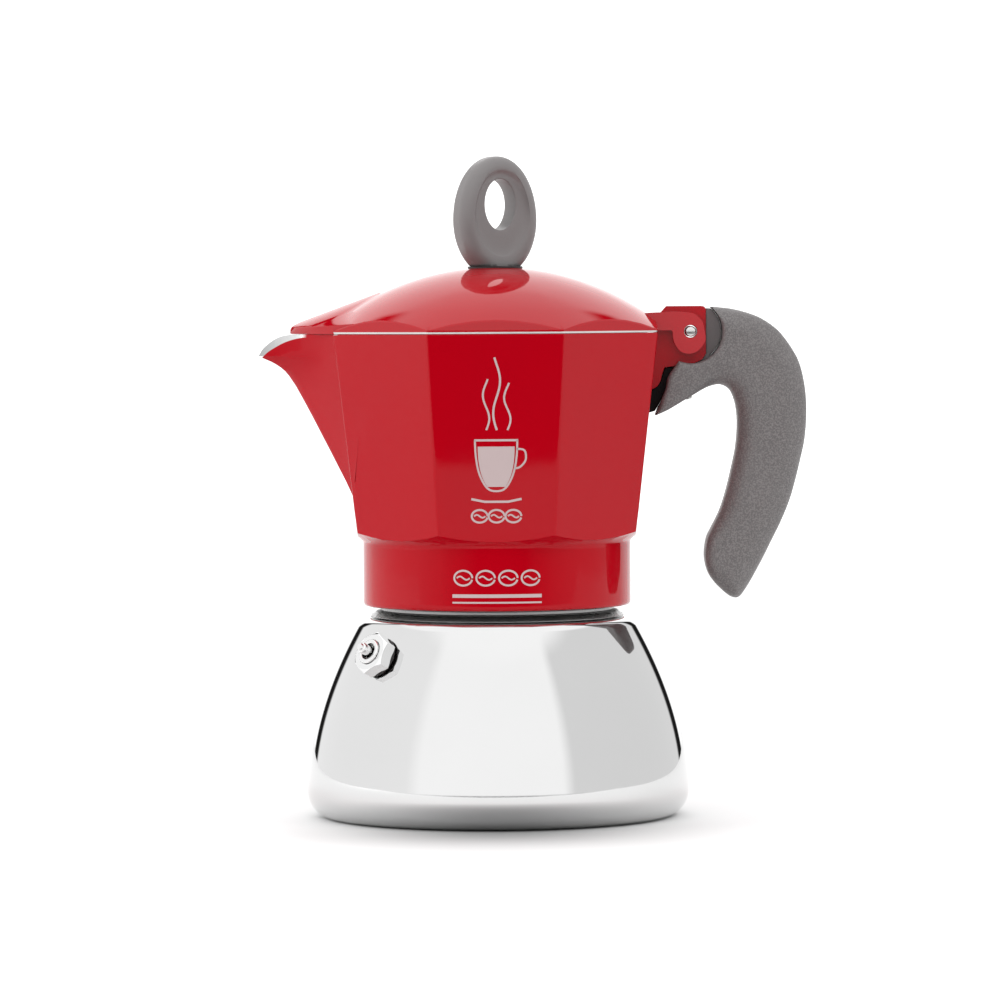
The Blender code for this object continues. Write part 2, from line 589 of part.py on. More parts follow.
knob_screw = make("knob_screw", *spin([
    (0.7, 139.2), (2.9, 139.2), (3.4, 139.8), (3.4, 141.1), (1.6, 141.25), (1.6, 148.0), (0.7, 148.6)],
    24, loop=True), SCREW)
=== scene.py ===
"""Looks of the stovetop coffee pot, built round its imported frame.

Lengths are in millimetres and are scaled on the way in.
"""
import math

import bmesh
import bpy
from mathutils import Matrix, Vector
from mathutils.geometry import delaunay_2d_cdt


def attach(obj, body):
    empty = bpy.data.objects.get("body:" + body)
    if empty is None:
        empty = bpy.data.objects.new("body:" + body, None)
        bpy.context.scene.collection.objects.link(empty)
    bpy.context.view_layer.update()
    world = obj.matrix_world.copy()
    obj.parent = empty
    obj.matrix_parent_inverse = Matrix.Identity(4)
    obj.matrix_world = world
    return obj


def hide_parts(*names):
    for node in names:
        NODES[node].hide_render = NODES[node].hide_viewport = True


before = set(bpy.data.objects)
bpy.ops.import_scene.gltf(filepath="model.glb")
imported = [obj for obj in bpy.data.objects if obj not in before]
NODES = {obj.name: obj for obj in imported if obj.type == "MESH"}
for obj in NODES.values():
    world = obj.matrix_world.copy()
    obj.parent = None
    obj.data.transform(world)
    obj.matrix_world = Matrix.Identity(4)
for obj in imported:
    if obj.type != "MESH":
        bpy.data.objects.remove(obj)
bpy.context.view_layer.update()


MM = 0.001
TAU = 2 * math.pi


# ------------------------------------------------------------------ shader helpers
def tree_of(name):
    mat = bpy.data.materials.new(name)
    mat.use_nodes = True
    nt = mat.node_tree
    return mat, nt, nt.nodes["Principled BSDF"]


def math_node(nt, op, a, b=None, clamp=False):
    n = nt.nodes.new("ShaderNodeMath")
    n.operation = op
    n.use_clamp = clamp
    for i, v in enumerate((a, b)):
        if v is None:
            continue
        if isinstance(v, (int, float)):
            n.inputs[i].default_value = v
        else:
            nt.links.new(v, n.inputs[i])
    return n.outputs[0]


def mapped(nt, value, a, b, c, d, smooth=False):
    n = nt.nodes.new("ShaderNodeMapRange")
    n.interpolation_type = "SMOOTHSTEP" if smooth else "LINEAR"
    nt.links.new(value, n.inputs["Value"])
    for key, v in zip(("From Min", "From Max", "To Min", "To Max"), (a, b, c, d)):
        n.inputs[key].default_value = v
    return n.outputs["Result"]


def mixed(nt, fac, a, b):
    n = nt.nodes.new("ShaderNodeMix")
    n.data_type = "RGBA"
    nt.links.new(fac, n.inputs["Factor"])
    for sock, v in ((n.inputs["A"], a), (n.inputs["B"], b)):
        if isinstance(v, tuple):
            sock.default_value = (*v, 1.0)
        else:
            nt.links.new(v, sock)
    return n.outputs["Result"]


def where(nt):
    return nt.nodes.new("ShaderNodeTexCoord").outputs["Object"]


def noise_of(nt, coord, scale, detail=3.0, rough=0.55, stretch=None):
    if stretch is not None:
        m = nt.nodes.new("ShaderNodeMapping")
        m.inputs["Scale"].default_value = stretch
        nt.links.new(coord, m.inputs["Vector"])
        coord = m.outputs["Vector"]
    n = nt.nodes.new("ShaderNodeTexNoise")
    n.inputs["Scale"].default_value = scale
    n.inputs["Detail"].default_value = detail
    n.inputs["Roughness"].default_value = rough
    nt.links.new(coord, n.inputs["Vector"])
    return n.outputs["Fac"]


def bumped(nt, bsdf, height, strength, distance, socket="Normal"):
    b = nt.nodes.new("ShaderNodeBump")
    b.inputs["Strength"].default_value = strength
    b.inputs["Distance"].default_value = distance
    nt.links.new(height, b.inputs["Height"])
    nt.links.new(b.outputs["Normal"], bsdf.inputs[socket])


def finish(name, colour, tint, metallic, rough, rough_spread, grain, bump, coat=0.0, stretch=None,
           spec=0.5, speckle=0.0):
    """A painted, cast or moulded surface: two close tones, patchy gloss and a fine grain."""
    mat, nt, bsdf = tree_of(name)
    co = where(nt)
    patch = noise_of(nt, co, 38.0, 4.0)
    fine = noise_of(nt, co, grain, 3.0, 0.6, stretch)
    tone = mixed(nt, mapped(nt, patch, 0.3, 0.7, 0.0, 1.0), colour, tint)
    if speckle:
        light_fleck = tuple(min(1.0, 2.6 * c) for c in colour)
        tone = mixed(nt, mapped(nt, fine, 0.46, 0.58, 0.0, speckle), tone, light_fleck)
    nt.links.new(tone, bsdf.inputs["Base Color"])
    blend = math_node(nt, "MULTIPLY", patch, fine)
    nt.links.new(mapped(nt, blend, 0.1, 0.45, rough - rough_spread, rough + rough_spread),
                 bsdf.inputs["Roughness"])
    bsdf.inputs["Metallic"].default_value = metallic
    bsdf.inputs["Specular IOR Level"].default_value = spec
    bsdf.inputs["Coat Weight"].default_value = coat
    bsdf.inputs["Coat Roughness"].default_value = 0.02
    bumped(nt, bsdf, fine, bump, 0.0002)
    return mat, nt, bsdf


RED_A, RED_B = (0.40, 0.0006, 0.0066), (0.385, 0.0010, 0.0074)
ALU = finish("cast_aluminium", (0.62, 0.62, 0.61), (0.55, 0.55, 0.54), 1.0, 0.33, 0.08, 900.0, 0.25)[0]
TURNED = finish("turned_aluminium", (0.36, 0.355, 0.355), (0.30, 0.295, 0.295), 1.0, 0.30, 0.06, 500.0, 0.2,
                stretch=(1.0, 1.0, 14.0))[0]
STEEL = finish("mirror_steel", (0.672, 0.672, 0.672), (0.66, 0.66, 0.66), 1.0, 0.035, 0.012, 260.0, 0.012)[0]
PLATED = finish("nickel_plate", (0.80, 0.80, 0.80), (0.74, 0.74, 0.74), 1.0, 0.10, 0.04, 700.0, 0.05)[0]
ZINC = finish("zinc_plate", (0.66, 0.66, 0.65), (0.56, 0.56, 0.55), 1.0, 0.25, 0.06, 800.0, 0.1)[0]
GREY = finish("grey_nylon", (0.122, 0.113, 0.113), (0.108, 0.100, 0.100), 0.0, 0.42, 0.08, 2500.0, 0.6,
              spec=0.45, speckle=0.34)[0]
# the same grey nylon as the grip, but set lighter: painted light standing in for the light the knob catches,
# with a smoother finish
GREY_KNOB = finish("grey_nylon_knob_painted_light", (0.188, 0.176, 0.176), (0.172, 0.161, 0.161), 0.0, 0.36,
                   0.05, 1500.0, 0.14, spec=0.5)[0]
BLACK = finish("black_nylon", (0.010, 0.007, 0.007), (0.014, 0.010, 0.010), 0.0, 0.45, 0.06, 1500.0, 0.15)[0]
RUBBER = finish("pale_rubber", (0.66, 0.64, 0.58), (0.60, 0.58, 0.52), 0.0, 0.65, 0.06, 900.0, 0.2)[0]
PRINT = finish("white_print", (0.50, 0.40, 0.40), (0.47, 0.37, 0.37), 0.0, 0.35, 0.05, 1200.0, 0.05)[0]


def enamel(name, lip=False, spec=0.18):
    mat, nt, bsdf = finish(name, RED_A, RED_B, 0.0, 0.05, 0.015, 420.0, 0.012, spec=spec)
    if lip:
        # the enamel stops a little short of the pouring edge and leaves polished metal
        co = nt.nodes.new("ShaderNodeSeparateXYZ")
        nt.links.new(where(nt), co.inputs[0])
        x = math_node(nt, "MULTIPLY", co.outputs["X"], 1000.0)
        z = math_node(nt, "MULTIPLY", co.outputs["Z"], 1000.0)
        t = mapped(nt, x, -61.5, -50.0, 0.0, 1.0)
        curve = nt.nodes.new("ShaderNodeFloatCurve")
        c = curve.mapping.curves[0]
        for i, (px, py) in enumerate(((0.0, 0.0), (0.12, 0.30), (0.36, 0.60), (0.68, 0.87), (1.0, 1.0))):
            if i in (0, 4):
                c.points[0 if i == 0 else -1].location = (px, py)
            else:
                c.points.new(px, py)
        curve.mapping.update()
        nt.links.new(t, curve.inputs["Value"])
        edge = mapped(nt, curve.outputs["Value"], 0.0, 1.0, 118.9, 125.2)
        bare = mapped(nt, math_node(nt, "SUBTRACT", z, edge), -0.06, 0.06, 0.0, 1.0)
        bare = math_node(nt, "MULTIPLY", bare, mapped(nt, x, -50.3, -49.0, 1.0, 0.0))
        old = bsdf.inputs["Base Color"].links[0].from_socket
        nt.links.new(mixed(nt, bare, old, (0.86, 0.86, 0.86)), bsdf.inputs["Base Color"])
        nt.links.new(bare, bsdf.inputs["Metallic"])
    return mat


# a black spacer against the collector's wall, darkened further as painted shade for the deep hollow under the
# lug, running into grey towards the grip
CORE_MAT, nt, bsdf = finish("handle_core_black_and_painted_shade", (0.0035, 0.0025, 0.0025), (0.005, 0.004, 0.004), 0.0,
                            0.5, 0.06, 2400.0, 0.5, spec=0.12)
sep = nt.nodes.new("ShaderNodeSeparateXYZ")
nt.links.new(where(nt), sep.inputs[0])
black = bsdf.inputs["Base Color"].links[0].from_socket
greyness = mapped(nt, sep.outputs["X"], 0.0505, 0.0550, 0.0, 1.0)
nt.links.new(mixed(nt, greyness, black, (0.165, 0.153, 0.153)), bsdf.inputs["Base Color"])
RED_LIP = enamel("red_enamel_lip", lip=True)
RED_LID = enamel("red_enamel_lid", spec=0.42)


# ------------------------------------------------------------------ mesh helpers
def make(name, verts, faces, mats, place=None, smooth=32.0):
    if place is not None:
        verts = [place @ Vector(v) for v in verts]
    mesh = bpy.data.meshes.new(name)
    mesh.from_pydata([Vector(v) * MM for v in verts], [], faces)
    bm = bmesh.new()
    bm.from_mesh(mesh)
    bmesh.ops.remove_doubles(bm, verts=bm.verts, dist=1e-6)
    bmesh.ops.dissolve_degenerate(bm, edges=bm.edges, dist=1e-6)
    bmesh.ops.recalc_face_normals(bm, faces=bm.faces)
    if bm.calc_volume(signed=True) < 0:
        bmesh.ops.reverse_faces(bm, faces=bm.faces)
    bm.to_mesh(mesh)
    bm.free()
    ob = bpy.data.objects.new(name, mesh)
    bpy.context.scene.collection.objects.link(ob)
    for m in mats if isinstance(mats, (list, tuple)) else [mats]:
        if m is not None:
            mesh.materials.append(m)
    shade(ob, smooth)
    return ob


def shade(ob, angle):
    mesh = ob.data
    mesh.polygons.foreach_set("use_smooth", [True] * len(mesh.polygons))
    mesh.set_sharp_from_angle(angle=math.radians(angle))


def spin(rings, angles, loop=True):
    verts, faces = [], []
    segs = len(angles)
    for ring in rings:
        for ang in angles:
            r, z = ring(ang) if callable(ring) else ring
            verts.append((r * math.cos(ang), r * math.sin(ang), z))
    count = len(rings)
    for j in range(count if loop else count - 1):
        a, b = j * segs, ((j + 1) % count) * segs
        for i in range(segs):
            k = (i + 1) % segs
            faces.append((a + i, a + k, b + k, b + i))
    if not loop:
        faces.append(tuple(reversed(range(segs))))
        faces.append(tuple((count - 1) * segs + i for i in range(segs)))
    return verts, faces


def even(n):
    return [TAU * i / n for i in range(n)]


def loft(sections, loop=False):
    n = len(sections[0])
    verts = [p for sec in sections for p in sec]
    faces = []
    count = len(sections)
    for j in range(count if loop else count - 1):
        a, b = j * n, ((j + 1) % count) * n
        for i in range(n):
            k = (i + 1) % n
            faces.append((a + i, a + k, b + k, b + i))
    if not loop:
        faces.append(tuple(reversed(range(n))))
        faces.append(tuple((count - 1) * n + i for i in range(n)))
    return verts, faces


def slab(outline, y0, y1):
    return loft([[(x, y, z) for x, z in outline] for y in (y0, y1)])


def rod(x, y, z0, z1, r, segs=48):
    return loft([[(x + r * math.cos(a), y + r * math.sin(a), z) for a in even(segs)] for z in (z0, z1)])


def cross_rod(x, z, y0, y1, r, segs=64):
    return loft([[(x + r * math.cos(a), y, z + r * math.sin(a)) for a in even(segs)] for y in (y0, y1)])


def arc(cx, cz, r, a0, a1, n):
    return [(cx + r * math.cos(math.radians(a0 + (a1 - a0) * i / (n - 1))),
             cz + r * math.sin(math.radians(a0 + (a1 - a0) * i / (n - 1)))) for i in range(n)]


def curved(points, per=4, closed=True, keep=()):
    """Points on a smooth curve through the given ones; indices in keep stay sharp."""
    out = []
    n = len(points)
    for i in range(n if closed else n - 1):
        p0, p1, p2, p3 = (Vector(points[(i + k) % n] if closed else points[min(max(i + k, 0), n - 1)])
                          for k in (-1, 0, 1, 2))
        a, b = i % n, (i + 1) % n
        m1 = (p2 - p0) / 2 if a not in keep else (p2 - p1)
        m2 = (p3 - p1) / 2 if b not in keep else (p2 - p1)
        d = (p2 - p1).length
        if m1.length > d * 1.2:
            m1 = m1.normalized() * d * 1.2
        if m2.length > d * 1.2:
            m2 = m2.normalized() * d * 1.2
        for s in range(per):
            t = s / per
            out.append(tuple((2 * t**3 - 3 * t**2 + 1) * p1 + (t**3 - 2 * t**2 + t) * m1
                             + (-2 * t**3 + 3 * t**2) * p2 + (t**3 - t**2) * m2))
    if not closed:
        out.append(tuple(points[-1]))
    return out


def inset(outline, amount, limit=2.2):
    area = sum(a[0] * b[1] - b[0] * a[1] for a, b in zip(outline, outline[1:] + outline[:1]))
    sign = 1.0 if area > 0 else -1.0
    out = []
    for i, p in enumerate(outline):
        before = Vector(p) - Vector(outline[i - 1])
        after = Vector(outline[(i + 1) % len(outline)]) - Vector(p)
        n0 = Vector((-before.y, before.x)).normalized() * sign
        n1 = Vector((-after.y, after.x)).normalized() * sign
        mean = (n0 + n1).normalized()
        q = Vector(p) + mean * amount * min(1.0 / max(mean.dot(n0), 0.2), limit)
        out.append((q.x, q.y))
    return out


def boolean(ob, steps, smooth=32.0):
    """Applies a list of (shape, operation, place) to ob and keeps only the result."""
    tools = []
    for i, (shape, how, place) in enumerate(steps):
        tool = make(f"{ob.name}_tool_{i}", *shape, None, place)
        mod = ob.modifiers.new(f"step_{i}", "BOOLEAN")
        mod.operation, mod.solver, mod.object = how, "EXACT", tool
        tools.append(tool)
    deps = bpy.context.evaluated_depsgraph_get()
    mesh = bpy.data.meshes.new_from_object(ob.evaluated_get(deps))
    ob.modifiers.clear()
    ob.data = mesh
    for tool in tools:
        bpy.data.objects.remove(tool, do_unlink=True)
    shade(ob, smooth)
    return ob


JOIN, CUT = "UNION", "DIFFERENCE"


def rounded(ob, width, segments=2, angle=32.0):
    mod = ob.modifiers.new("edges", "BEVEL")
    mod.width, mod.segments = width * MM, segments
    mod.limit_method, mod.angle_limit = "ANGLE", math.radians(angle)
    mod.harden_normals = False
    mod.use_clamp_overlap = True


def stands_for(ob, body, slot, *nodes):
    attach(ob, body)
    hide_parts(*nodes)


def bell_r(z):
    return 50.0 - 13.2 * ((z - 7.3) / 43.8) ** 1.87


def oct_a(z):
    return 36.1 + 5.8 * (z - 74.0) / 52.0


def dome_z(r, thick=0.0):
    return 73.3 + math.sqrt((70.0 - thick) ** 2 - r * r)


def poly_r(a, ang, sides=8, rho=0.0):
    """Edge of a polygon with flats on the axes and corners rounded to radius rho."""
    step = TAU / sides
    t = (ang + step / 2) % step - step / 2
    flat = math.atan((a - rho) * math.tan(step / 2) / a)
    if abs(t) <= flat or rho <= 0.0:
        return a / math.cos(t)
    c = (a - rho) / math.cos(step / 2)
    d = step / 2 - abs(t)
    return c * math.cos(d) + math.sqrt(max(0.0, rho * rho - (c * math.sin(d)) ** 2))


# ------------------------------------------------------------------ boiler
valve_turn = math.radians(47.0)
radial = Vector((-math.sin(valve_turn), -math.cos(valve_turn), 0.0))
lean = bell_r(43.5) - bell_r(42.5)
valve_dir = (radial - Vector((0, 0, lean))).normalized()
valve_at = radial * bell_r(43.0) + Vector((0, 0, 43.0))
v_side = Vector((0, 0, 1)).cross(valve_dir).normalized()
valve_axes = Matrix((v_side, valve_dir.cross(v_side), valve_dir)).transposed().to_4x4()
VALVE = Matrix.Translation(valve_at) @ valve_axes

outer = [(43.96, 0.12), (44.4, 0.13)]
for i in range(2, 13):
    a = math.pi / 2 * i / 12
    outer.append((44.0 + 6.0 * math.sin(a), 7.3 * (1 - math.cos(a))))
for i in range(1, 41):
    z = 7.3 + 43.8 * i / 40
    outer.append((bell_r(z), z))
outer += [(36.2, 51.55), (35.5, 51.95), (34.7, 52.28), (33.9, 52.45)]
back = [(33.6, 51.75)] + [(bell_r(7.3 + 43.0 * i / 24) - 0.75, 7.6 + 43.0 * i / 24) for i in range(24, -1, -1)]
back += [(48.6, 4.2), (46.6, 1.9), (43.96, 0.8)]
jacket = make("boiler_jacket_look", *spin(outer + back, even(192)), STEEL, smooth=60.0)
boolean(jacket, [(rod(0, 0, -8.0, 4.0, 4.15), CUT, VALVE)], 60.0)
stands_for(jacket, "boiler", "mirror_steel", "boiler_jacket")


# ------------------------------------------------------------------ safety valve
def hexed(s):
    return lambda ang: (poly_r(5.0, ang, 6, 0.25), s)


def chamfer(ang):
    r = poly_r(5.0, ang, 6, 0.25)
    return r, 4.12 - (r - 5.0) * 0.75


hexa = sorted(set(even(48)) | {TAU * (k + 0.5) / 6 + d for k in range(6) for d in (-0.06, -0.03, 0.03, 0.06)})
valve_body = make("valve_body_look", *spin([
    (1.2, -5.0), (3.85, -5.0), (3.85, 0.8), hexed(0.8), hexed(1.0), chamfer, (4.9, 4.17), (4.8, 4.2),
    (3.5, 4.2), (3.5, 2.9), (2.65, 2.9), (2.65, -3.9), (1.2, -3.9)], hexa), PLATED, VALVE, 25.0)
stands_for(valve_body, "boiler", "nickel_brass", "valve_body")
retainer = make("valve_retainer_look", *spin([
    (2.2, 3.0), (3.3, 3.0), (3.3, 4.5), (3.25, 4.72), (3.1, 4.85), (2.9, 4.9), (2.5, 4.9), (2.3, 4.82),
    (2.2, 4.65)], even(64)), PLATED, VALVE, 40.0)
stands_for(retainer, "boiler", "nickel_brass", "valve_retainer")
piston = make("valve_piston_look", *spin([
    (0.02, -3.7), (2.35, -3.7), (2.35, -2.9), (1.4, -2.9), (1.4, 6.9), (1.36, 7.15), (1.2, 7.32),
    (0.9, 7.4), (0.86, 7.9), (0.76, 8.05), (0.5, 8.1), (0.02, 8.1)], even(48), loop=False),
    PLATED, VALVE, 40.0)
stands_for(piston, "valve_stem", "nickel_brass", "valve_piston")

# ------------------------------------------------------------------ collector
RHO = 1.1
octa = []
for k in range(8):
    mid = math.pi / 4 * k
    half = math.pi / 8
    flat = math.atan((38.0 - RHO) * math.tan(half) / 38.0)
    octa += [mid + flat * f for f in (-1.0, -0.94, -0.7, -0.35, 0.0, 0.35, 0.7, 0.94, 1.0)]
    octa += [mid + flat + (half - flat) * 2 * f for f in (0.18, 0.36, 0.5, 0.64, 0.82)]
octa = sorted(a % TAU for a in octa)


def oct_ring(a, z, rho=RHO):
    return lambda ang: (poly_r(a, ang, 8, rho), z)


def waist(drop, slip):
    def ring(ang):
        r = poly_r(oct_a(73.6), ang, 8, 0.5) - slip
        return r, 72.45 + (r + slip - 35.2) * 0.56 - drop
    return ring


profile = [(33.4, 55.1), (34.2, 55.12), (34.6, 55.3), (34.84, 55.7), (34.9, 56.2), (34.9, 56.8),
           (34.9, 70.6), (34.9, 71.2), (34.95, 71.7),
           (35.15, 72.05), waist(0.12, 0.35), waist(0.0, 0.0), waist(-0.35, -0.03),
           oct_ring(oct_a(80.0), 80.0),
           oct_ring(oct_a(90.0), 90.0), oct_ring(oct_a(108.0), 108.0), oct_ring(41.84, 125.4),
           oct_ring(41.88, 125.8), oct_ring(41.7, 126.0), oct_ring(39.5, 126.0), oct_ring(39.3, 125.8),
           oct_ring(oct_a(100.0) - 2.6, 100.0, 3.0), oct_ring(33.9, 81.0, 6.0), (32.6, 79.0), (31.0, 77.8),
           (27.5, 77.0), (7.6, 77.0), (7.6, 75.2), (22.5, 72.4), (24.8, 71.6), (24.8, 69.5), (31.0, 69.5),
           (31.0, 67.2), (32.1, 66.2)]
for j in range(36, -1, -1):
    z = 56.6 + 9.6 * j / 36

    def turn_in(ang, z=z):
        phase = (z / 3.2 - ang / TAU) % 1.0
        tooth = min(1.0, max(0.0, 1.6 - abs(phase - 0.5) * 5.0))
        return 32.1 - 0.7 * tooth * max(0.0, min(1.0, (z - 56.6) / 1.5, (66.2 - z) / 1.5)), z
    profile.append(turn_in)
profile += [(32.7, 55.6), (33.0, 55.2)]
collector = make("collector_look", *spin(profile, octa), [RED_LIP, ALU])

KEEL = ((84.2, -36.6), (88.0, -39.0), (95.0, -42.7), (105.0, -48.0), (109.0, -50.2), (111.1, -51.4),
        (112.5, -52.2), (113.7, -53.0), (115.2, -54.0), (116.4, -55.0), (117.4, -56.2), (118.2, -57.4),
        (118.9, -58.7), (119.4, -59.9), (119.9, -61.0), (120.4, -62.2), (121.8, -62.2), (127.5, -62.2))


def spout_side(z):
    t = max(0.0, z - 85.0) / 41.3
    return -37.35 + 3.8 * t, -15.4 - 10.1 * t


def spout_front(z):
    return (-37.35 - 0.529 * (min(z, 114.0) - 85.0) - 0.10 * max(0.0, z - 114.0),
            max(1.6, 14.6 * (116.5 - z) / 31.5))


def spout_outer(z, keel):
    sink = 0.7 if z < 85.0 else 0.0
    cx, cy = spout_side(z)
    front, nose = spout_front(z)
    cx, cy, nose, front = cx + sink, cy + sink, nose - sink, front - (0.3 if sink else 0.0)
    mid = oct_a(z) - 1.3 - 0.02 * max(0.0, z - 85.0)
    flare = min(0.0, keel - front)
    tail = Vector((front - cx, -nose - cy)).normalized() * 0.9
    pts = [(-mid + sink, -mid * math.tan(math.pi / 8) + sink),
           (cx + 0.2, cy + 0.1) if sink else (cx - tail.x, cy - tail.y)]
    long = (Vector((front, -nose)) - Vector((cx, cy))).length
    soft = min(0.9, nose * 0.5, long * 0.12)
    for i in range(11):
        t = 0.45 + 0.55 * i / 12
        pull = (i / 12) ** 2.2 * flare
        p = Vector((cx, cy)).lerp(Vector((front, -nose)), t)
        pts.append((p.x + pull, p.y))
    u = (Vector((cx, cy)) - Vector((front, -nose))).normalized()
    x, y = front + flare, -nose
    pts.append((x + u.x * soft * 0.6, y + u.y * soft * 0.6))
    pts.append((x + u.x * soft * 0.12 + soft * 0.06, y + u.y * soft * 0.12 + soft * 0.12))
    pts.append((x, y + soft * 0.6))
    return [(x, y, z) for x, y in pts] + [(x, -y, z) for x, y in reversed(pts)]


def spout_inner(z, keel, out):
    cx = spout_side(z)[0]
    front, nose = spout_front(z)
    wall = -(oct_a(z) - 2.6) * math.sqrt(2) + 1.2
    a = Vector((cx + 2.4, wall - cx - 2.4))
    b = Vector((front + 2.0, -max(0.7, nose - 1.5)))
    flare = min(0.0, keel + 2.0 - b.x)
    pts = [(-24.0, -8.0), (a.x, a.y)]
    for i in range(13):
        p = a.lerp(b, 0.45 + 0.55 * i / 12)
        pts.append((p.x + (i / 12) ** 2.2 * flare, p.y))
    pts.append((b.x + flare - out, b.y * (1.0 if out > 1.0 else 0.7)))
    return [(x, y, z) for x, y in pts] + [(x, -y, z) for x, y in reversed(pts)]


CHANNEL = ((88.0, -39.0, 0.3), (95.0, -42.7, 0.3), (105.0, -48.0, 0.3), (111.1, -51.4, 0.3),
           (115.5, -54.3, 0.3),
           (117.0, -55.8, 0.3), (118.2, -57.4, 0.3), (119.0, -59.0, 0.3), (119.8, -60.8, 0.3),
           (121.0, -62.2, 5.0),
           (124.0, -62.2, 6.0), (128.0, -62.2, 6.0))
LIP = curved([(-28.0, 126.04), (-50.5, 126.0), (-53.5, 125.9), (-55.8, 125.5), (-57.8, 124.6), (-59.7, 123.2),
              (-60.9, 122.0), (-62.0, 120.3), (-64.0, 119.0)], 4, closed=False) + [(-66.0, 130.0),
              (-28.0, 130.0)]
LUG = [(39.6, 110.9), (41.7, 112.1), (42.5, 113.3), (43.1, 115.6), (43.6, 117.1), (46.5, 117.5),
       (50.5, 117.7),
       (53.4, 119.1), (54.4, 120.6), (54.4, 132.0), (54.1, 132.55), (53.6, 132.8), (44.4, 132.8),
       (42.8, 131.0),
       (41.6, 128.0), (41.4, 125.7), (39.9, 125.2)]
LUG_LOOK = [(39.6, 110.6), (41.95, 111.85), (42.82, 113.2), (43.45, 115.6), (43.92, 116.85), (46.5, 117.2),
            (50.6, 117.4), (53.7, 118.85), (54.72, 120.4), (54.72, 132.0), (54.4, 132.6),
            (53.6, 132.8)] + LUG[-5:]
boolean(collector, [
    (loft([spout_outer(z, k) for z, k in KEEL]), JOIN, None),
    (slab(LIP, -30.0, 30.0), CUT, None),
    (loft([spout_inner(z, k, out) for z, k, out in CHANNEL]), CUT, None),
    (slab(LUG_LOOK, -4.7, 4.7), JOIN, None),
    (cross_rod(50.7, 126.2, -9.0, 9.0, 1.62), CUT, None),
    (rod(48.3, 0.0, 112.0, 122.9, 1.65, 24), CUT, None)], 24.0)
for face in collector.data.polygons:
    c, n = face.center * 1000.0, face.normal
    flat_r = max(abs(c.x), abs(c.y), (abs(c.x) + abs(c.y)) / math.sqrt(2))
    inward = c.x * n.x + c.y * n.y < -0.5
    bare = c.z > 76.0 and inward and flat_r < oct_a(c.z) - 0.9 and c.x < 41.0
    bare = bare or (n.z > 0.75 and 119.5 < c.z < 125.5 and c.x < 41)
    bare = bare or c.z < 55.2 or (c.z < 78.0 and math.hypot(c.x, c.y) < 33.2)
    bare = bare or (n.z > 0.9 and c.z < 80.0 and flat_r < 33)
    bare = bare or (c.x < -40.0 and abs(c.y) < 20 and n.z > 0.3 and c.z > 86.0)
    face.material_index = 1 if bare else 0
rounded(collector, 0.3, 2, 30.0)
stands_for(collector, "collector", "red_enamel", "collector")

pin = make("hinge_pin_look", *loft([[(50.7 + r * math.cos(a), y, 126.2 + r * math.sin(a)) for a in even(48)]
                                    for y, r in ((-7.4, 1.1), (-7.3, 1.3), (-7.1, 1.4), (7.1, 1.4),
                                    (7.3, 1.3), (7.4, 1.1))]),
           ZINC, smooth=40.0)
stands_for(pin, "collector", "zinc_screw", "hinge_pin")

# ------------------------------------------------------------------ handle
GRIP = [(57.6, 132.5), (61.6, 132.0), (65.8, 130.9), (69.4, 129.4), (73.1, 126.8), (75.4, 124.2),
        (77.3, 121.4), (78.8, 118.6), (79.9, 115.0), (80.7, 110.0), (80.9, 104.5), (80.4, 98.1),
        (79.3, 92.9), (78.0, 87.6), (76.5, 82.4), (74.4, 77.2), (71.8, 72.0), (69.2, 66.8),
        (66.3, 61.5), (64.7, 58.9), (63.4, 57.2), (62.2, 56.7), (60.6, 57.2), (58.5, 58.9),
        (56.1, 61.5), (54.8, 64.2), (54.25, 67.8), (54.8, 72.0), (56.1, 74.9), (58.3, 79.6),
        (60.0, 85.0), (61.3, 90.3), (62.4, 95.5), (62.9, 100.7), (62.8, 105.0), (62.1, 108.5),
        (60.8, 111.1), (58.4, 112.3), (56.0, 112.0), (53.8, 111.1), (49.3, 108.5), (44.9, 105.9),
        (41.6, 104.4), (42.6, 107.2), (44.2, 111.6), (44.8, 114.4), (46.4, 116.8)]
GRIP += arc(50.7, 126.2, 8.3, -112, 50, 14)
sharp = (0, 42, 46, 47, len(GRIP) - 1)
CORE = [(40.0, 105.2), (40.75, 110.9), (42.0, 111.8), (42.85, 113.2), (43.95, 116.75), (46.5, 117.15),
        (50.6, 117.35), (53.6, 118.75), (54.75, 120.4),
        (54.75, 132.2)] + arc(50.7, 126.2, 8.0, 48, -50, 18) \
    + [(56.6, 117.0), (56.0, 115.0), (50.0, 114.0), (45.6, 113.2), (43.6, 109.5), (41.4, 105.5)]


def rim_radius(x, z):
    """How far the rounding reaches in from the outline: broad on the hook, tight on the arm and the scoop."""
    if math.hypot(x - 50.7, z - 126.2) < 8.7:
        return 1.3
    t = min(1.0, max(0.0, (x - 50.0) / 10.0))
    return 1.2 + 4.0 * t * t * (3 - 2 * t)


